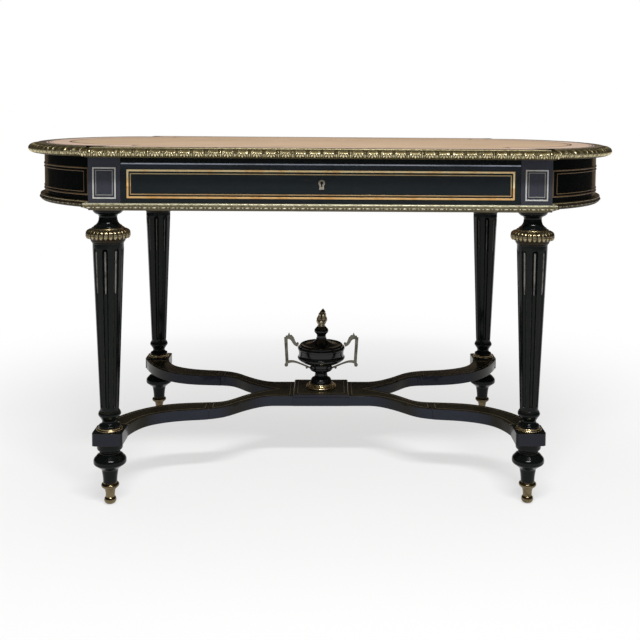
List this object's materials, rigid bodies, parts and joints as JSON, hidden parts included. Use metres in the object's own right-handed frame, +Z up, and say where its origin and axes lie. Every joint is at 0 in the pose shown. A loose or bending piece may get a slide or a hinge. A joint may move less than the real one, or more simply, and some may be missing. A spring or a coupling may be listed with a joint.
{
  "type": "writing desk",
  "caption": "Ebonised writing desk with rounded ends, brass mouldings, leather top, one drawer, fluted legs and a curved stretcher carrying an urn.",
  "frame": {"origin": "on the floor under the middle of the desk", "axes": "+X along the desk to the end with the candle slide, +Y away from the drawer front, +Z up"},
  "size_m": [1.354, 0.75, 0.76],
  "materials": {
    "ebonised_wood": "polished black",
    "plain_wood": "satin",
    "aged_brass": "cast, aged gilt",
    "dull_brass": "dull grey",
    "lock_steel": "brushed",
    "tooled_leather": "waxed, with tooled lines"
  },
  "bodies": {
    "carcase": {"top_panel": "ebonised_wood", "corner_block_front_left": "ebonised_wood", "corner_block_front_right": "ebonised_wood", "corner_block_back_left": "ebonised_wood", "corner_block_back_right": "ebonised_wood", "front_top_rail": "ebonised_wood", "front_bottom_rail": "ebonised_wood", "back_frieze": "ebonised_wood", "end_frieze_left": "ebonised_wood", "end_frieze_right": "ebonised_wood", "leg_front_left": "ebonised_wood", "leg_front_right": "ebonised_wood", "leg_back_left": "ebonised_wood", "leg_back_right": "ebonised_wood", "stretcher_centre": "ebonised_wood", "stretcher_fork_left": "ebonised_wood", "stretcher_fork_right": "ebonised_wood", "stretcher_arm_front_left": "ebonised_wood", "stretcher_arm_front_right": "ebonised_wood", "stretcher_arm_back_left": "ebonised_wood", "stretcher_arm_back_right": "ebonised_wood", "urn_body": "ebonised_wood", "urn_lid": "ebonised_wood", "drawer_runners": "plain_wood", "slide_cradle": "plain_wood", "top_moulding_front": "aged_brass", "top_moulding_back": "aged_brass", "top_moulding_left": "aged_brass", "top_moulding_right": "aged_brass", "lower_moulding_front": "aged_brass", "lower_moulding_back": "aged_brass", "lower_moulding_left": "aged_brass", "lower_moulding_right": "aged_brass", "leg_collar_front_left": "aged_brass", "leg_collar_front_right": "aged_brass", "leg_collar_back_left": "aged_brass", "leg_collar_back_right": "aged_brass", "leg_foot_front_left": "aged_brass", "leg_foot_front_right": "aged_brass", "leg_foot_back_left": "aged_brass", "leg_foot_back_right": "aged_brass", "leg_block_rings": "aged_brass", "urn_base": "aged_brass", "urn_finial": "aged_brass", "urn_handle_left": "aged_brass", "urn_handle_right": "aged_brass", "carcase_fillets": "aged_brass", "leg_flute_rods": "dull_brass", "leather_top": "tooled_leather"},
    "drawer": {"drawer_front": "ebonised_wood", "drawer_side_left": "plain_wood", "drawer_side_right": "plain_wood", "drawer_back": "plain_wood", "drawer_bottom": "plain_wood", "drawer_lock_case": "lock_steel", "drawer_escutcheon": "aged_brass", "drawer_fillets": "aged_brass"},
    "lock_bolt": {"drawer_lock_bolt": "lock_steel"},
    "slide": {"candle_slide": "ebonised_wood", "candle_slide_ring": "aged_brass"}
  },
  "joints": [
    {"name": "drawer_slide", "type": "slide", "parent": "carcase", "child": "drawer", "axis": [0, -1, 0], "range_m": [0, 0.36]},
    {"name": "lock_bolt_slide", "type": "slide", "parent": "drawer", "child": "lock_bolt", "axis": [0, 0, 1], "range_m": [0, 0.008]},
    {"name": "candle_slide_pull", "type": "slide", "parent": "carcase", "child": "slide", "axis": [1, 0, 0], "range_m": [0, 0.12]}
  ]
}
